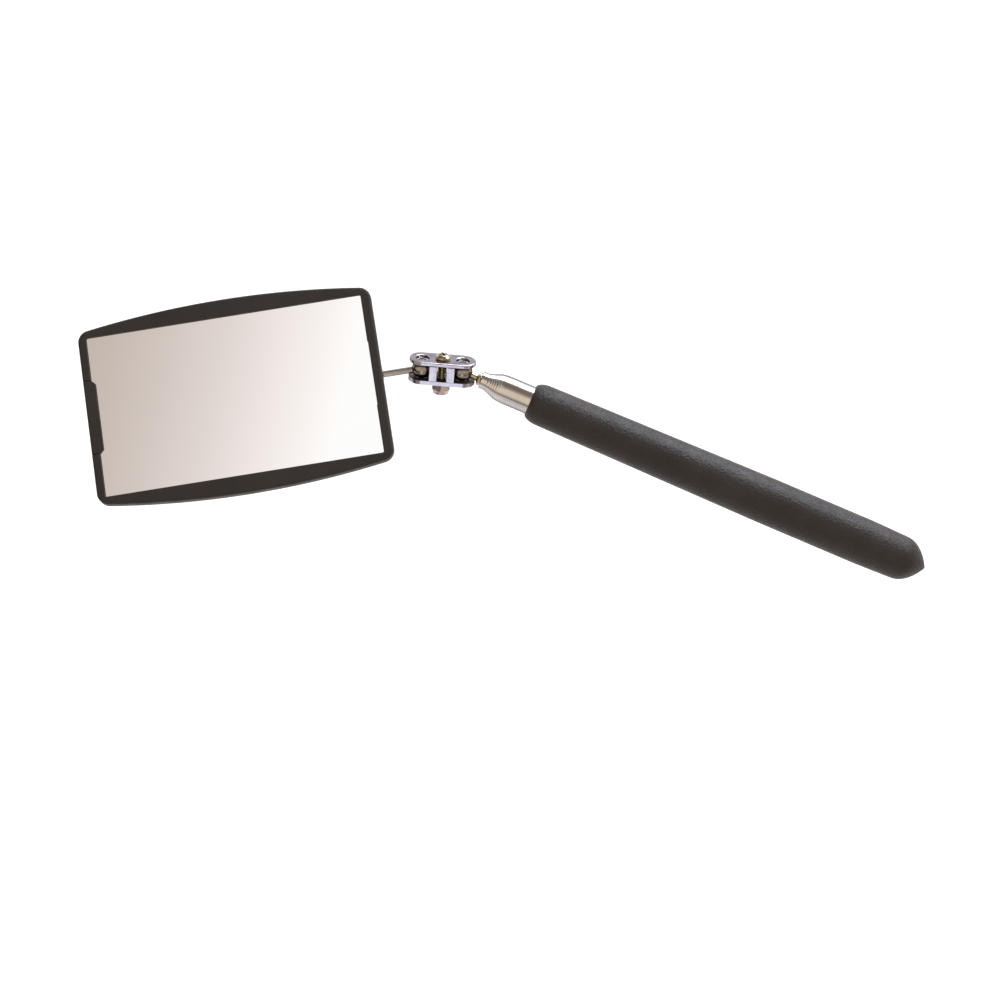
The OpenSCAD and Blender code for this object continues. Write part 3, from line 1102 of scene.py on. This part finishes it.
def make_glass():
    """The pane: silver on the face that looks out, and paint on the others."""
    half_l = GLASS_L / 2
    half_w = GLASS_W / 2
    glass = block("mirror_pane", GLASS_MID_X - half_l, GLASS_MID_X + half_l, -half_w, half_w,
                  GLASS_Z, LIP_Z)
    soften(glass, GLASS_ROUND, 3)
    finish_piece(glass, UPRIGHT, "head", "mirror", MIRROR, "mirror_glass")
    glass.data.materials.append(GLASS_BACK)
    for face in glass.data.polygons:
        face.material_index = 0 if face.normal.z > 0.9 else 1
    glass.data.transform(HEAD)


# ---------------------------------------------------------------- CAD nodes that stay


def finish_cad_nodes():
    """Materials for the nodes that no piece replaces."""
    kept = {
        # The balls carry painted shade in their colour.
        "mast_ball": BALL_CHROME_SHADED,
        "mirror_ball": BALL_CHROME_SHADED,
        "end_plug": ROD_STEEL,
        "nut_insert": NYLON,
        "glass_pad": PAD,
    }
    for number in range(2, 8):
        kept[f"friction_spring_{number}"] = BRONZE
    for name, material in kept.items():
        node = nodes[name]
        node.data.materials.clear()
        node.data.materials.append(material)


# ---------------------------------------------------------------- camera, floor and light

# The camera stands over the table, and its picture is turned so that the handle runs down
# to the right.
CAMERA_DISTANCE = 0.70
CAMERA_LENS = 80
CAMERA_SENSOR = 36
CAMERA_SEES_FROM = 0.01
CAMERA_SEES_TO = 20
CAMERA_TARGET = rear_ball + Vector((0.0267, -0.0326, 0))
CAMERA_LEAN = math.radians(2.25)
CAMERA_LEAN_TOWARDS = math.radians(132.1)
PICTURE_TURN = math.radians(22.98)

picture_right = Vector((math.cos(PICTURE_TURN), math.sin(PICTURE_TURN), 0))
picture_up = Vector((-math.sin(PICTURE_TURN), math.cos(PICTURE_TURN), 0))


def make_camera():
    lean = math.sin(CAMERA_LEAN)
    back = Vector((
        lean * math.cos(CAMERA_LEAN_TOWARDS),
        lean * math.sin(CAMERA_LEAN_TOWARDS),
        math.cos(CAMERA_LEAN),
    ))
    data = bpy.data.cameras.new("camera")
    data.lens = CAMERA_LENS
    data.sensor_width = CAMERA_SENSOR
    data.clip_start = CAMERA_SEES_FROM
    data.clip_end = CAMERA_SEES_TO
    camera = bpy.data.objects.new("camera", data)
    camera.matrix_world = place(CAMERA_TARGET + back * CAMERA_DISTANCE, picture_right, back)
    bpy.context.scene.collection.objects.link(camera)
    bpy.context.scene.camera = camera


# At some poses the mirror swings below the handle, so the floor lies lower than it reaches.
FLOOR_DROP = 0.125
FLOOR_HALF = 4


def make_floor():
    s = Shader("floor", Roughness=0.28, Specular_IOR_Level=0.5, Emission_Color=(1, 1, 1, 1),
               Emission_Strength=0.5)
    s.feed("Base Color", s.ramp(s.noise(3, 2), [
        (0.3, (0.63, 0.63, 0.64)),
        (0.7, (0.65, 0.65, 0.66)),
    ]))
    bm = bmesh.new()
    bmesh.ops.create_grid(bm, x_segments=1, y_segments=1, size=FLOOR_HALF)
    floor = new_piece("floor", bm)
    floor.location = (0, 0, cad_low.z - FLOOR_DROP)
    floor.data.materials.append(s.material)


OBJECT_MIDDLE = Vector((-0.1, 0, 0))


def area_light(name, centre, width, height, radiance, colour, in_reflections):
    """A soft box that faces the object; radiance is what its front shows."""
    data = bpy.data.lights.new(name, "AREA")
    data.shape = "RECTANGLE"
    data.size = width
    data.size_y = height
    data.energy = radiance * math.pi * width * height
    data.color = colour
    light = bpy.data.objects.new(name, data)
    aim = (OBJECT_MIDDLE - centre).normalized()
    light.matrix_world = place(centre, picture_right, -aim)
    light.visible_glossy = in_reflections
    bpy.context.scene.collection.objects.link(light)


# What polished metal sees of the studio, from the near side of the table (-90 degrees), over
# the camera (0), to the far side (90): soft boxes, and the dark gaps between them.
STUDIO = [
    (-90, (1.11, 1.02, 1.04)),
    (-68, (0.99, 0.88, 0.86)),
    (-53, (0.31, 0.26, 0.22)),
    (-40, (0.93, 0.81, 0.64)),
    (-26, (1.25, 1.09, 0.84)),
    (0, (1.20, 1.02, 0.82)),
    (13, (0.63, 0.50, 0.41)),
    (26, (0.35, 0.26, 0.22)),
    (52, (0.31, 0.26, 0.22)),
    (67, (1.08, 1.02, 1.00)),
    (80, (1.15, 1.10, 1.08)),
    (90, (1.20, 1.17, 1.15)),
]
# What the mirror sees beside that, along its length: a soft box that fades to the room. The
# first value is how far a direction points to the right in the picture, less a slant.
SOFT_BOX = [
    (-0.6, (0.19, 0.16, 0.145)),
    (-0.30, (0.465, 0.407, 0.359)),
    (-0.235, (0.563, 0.49, 0.436)),
    (-0.185, (0.776, 0.70, 0.67)),
    (-0.145, (0.97, 0.926, 0.912)),
    (-0.12, (1.09, 1.07, 1.06)),
    (-0.06, (1.3, 1.28, 1.27)),
]
SOFT_BOX_FROM = -0.6
SOFT_BOX_TO = 0.0
SOFT_BOX_SLANT = -0.26
SOFT_BOX_SHIFT = 0.1205
# Where the soft box takes over from the room: to the left, and towards the picture's top.
SOFT_BOX_LEFT = (-0.06, 0.06)
SOFT_BOX_BEYOND = (0.15, 0.34)

# A small cool soft box that shows in the clamp's front edges. Its two ranges are cosines: the
# angle from its middle, and the angle from the handle's direction.
EDGE_BOX = (0.246, -0.739, 0.631)
EDGE_BOX_EDGE = (0.972, 0.988)
EDGE_BOX_SIDE = (0.06, 0.13)
EDGE_BOX_COLOUR = (1.85, 1.9, 2.1, 1)
WHITE = (1.0, 1.0, 1.0, 1)


def make_world():
    """The studio as light and reflections, which the camera itself sees as plain white."""
    world = bpy.data.worlds.new("studio")
    world.use_nodes = True
    bpy.context.scene.world = world
    tree = world.node_tree
    make, link = tree.nodes.new, tree.links.new
    direction = make("ShaderNodeTexCoord").outputs["Generated"]

    def along(axis):
        """How far a direction points along an axis, from -1 to 1."""
        node = make("ShaderNodeVectorMath")
        node.operation = "DOT_PRODUCT"
        node.inputs[1].default_value = axis
        link(direction, node.inputs[0])
        return node.outputs["Value"]

    def calculate(operation, *values):
        node = make("ShaderNodeMath")
        node.operation = operation
        for socket, value in zip(node.inputs, values):
            if isinstance(value, (int, float)):
                socket.default_value = value
            else:
                link(value, socket)
        return node.outputs["Value"]

    def between(value, low, high):
        """0 below low, 1 above high, and a soft step between them."""
        node = make("ShaderNodeMapRange")
        node.interpolation_type = "SMOOTHSTEP"
        node.inputs["From Min"].default_value = low
        node.inputs["From Max"].default_value = high
        link(value, node.inputs["Value"])
        return node.outputs["Result"]

    def ramp(value, stops, low, high, smooth):
        """Colours along a value that runs from low to high; a smooth one stays below 1."""
        node = make("ShaderNodeValToRGB")
        node.color_ramp.interpolation = "B_SPLINE" if smooth else "LINEAR"
        elements = node.color_ramp.elements
        while len(elements) < len(stops):
            elements.new(0.5)
        for element, (position, colour) in zip(elements, stops):
            element.position = (position - low) / (high - low)
            element.color = (*colour, 1)
        scaled = make("ShaderNodeMapRange")
        scaled.inputs["From Min"].default_value = low
        scaled.inputs["From Max"].default_value = high
        link(value, scaled.inputs["Value"])
        link(scaled.outputs["Result"], node.inputs["Fac"])
        return node.outputs["Color"]

    def blend(factor, first, second):
        node = make("ShaderNodeMix")
        node.data_type = "RGBA"
        link(factor, node.inputs["Factor"])
        # Sockets 6 and 7 are the two colours that go in, and 2 is the colour that comes out.
        for socket, value in ((node.inputs[6], first), (node.inputs[7], second)):
            if isinstance(value, tuple):
                socket.default_value = value
            else:
                link(value, socket)
        return node.outputs[2]

    across = along(picture_right)
    upward = along(picture_up)
    height = along((0, 0, 1))
    angle = calculate("DEGREES", calculate("ARCTAN2", upward, height))
    room = ramp(angle, STUDIO, -90, 90, False)
    slanted = calculate("MULTIPLY_ADD", upward, SOFT_BOX_SLANT, across)
    place_in_box = calculate("ADD", slanted, SOFT_BOX_SHIFT)
    card = ramp(place_in_box, SOFT_BOX, SOFT_BOX_FROM, SOFT_BOX_TO, True)
    left_side = calculate("SUBTRACT", 1.0, between(across, *SOFT_BOX_LEFT))
    beyond = between(upward, *SOFT_BOX_BEYOND)
    seen = blend(calculate("MULTIPLY", left_side, beyond), room, card)
    near_middle = between(along(EDGE_BOX), *EDGE_BOX_EDGE)
    right_side = between(along(ROW_X), *EDGE_BOX_SIDE)
    seen = blend(calculate("MULTIPLY", near_middle, right_side), seen, EDGE_BOX_COLOUR)
    camera_ray = make("ShaderNodeLightPath").outputs["Is Camera Ray"]
    shown = blend(camera_ray, seen, WHITE)
    background = tree.nodes["Background"]
    link(shown, background.inputs["Color"])
    background.inputs["Strength"].default_value = 1.0


def make_lights():
    """A cool fill from overhead, and a bright strip beyond the object that shows in its metal."""
    overhead = Vector((-0.1, 0.1, 1.5))
    far_side = picture_up * 1.4 + picture_right * 0.55 + Vector((0, 0, 0.26))
    area_light("overhead", overhead, width=1.8, height=1.8, radiance=0.75,
               colour=(0.8, 1.0, 1.25), in_reflections=False)
    area_light("far_side", far_side, width=1.3, height=0.45, radiance=19.0,
               colour=(0.86, 0.92, 1.04), in_reflections=True)


def make_studio():
    make_camera()
    make_floor()
    make_world()
    make_lights()
    bpy.context.scene.view_settings.view_transform = "Standard"


make_studio()
make_grip()
for number in range(1, 7):
    make_tube(number)
make_tip_section()
make_stud()
make_rod()
make_clamp_plates()
make_screw()
make_nut()
make_frame()
make_latch()
make_glass()
finish_cad_nodes()
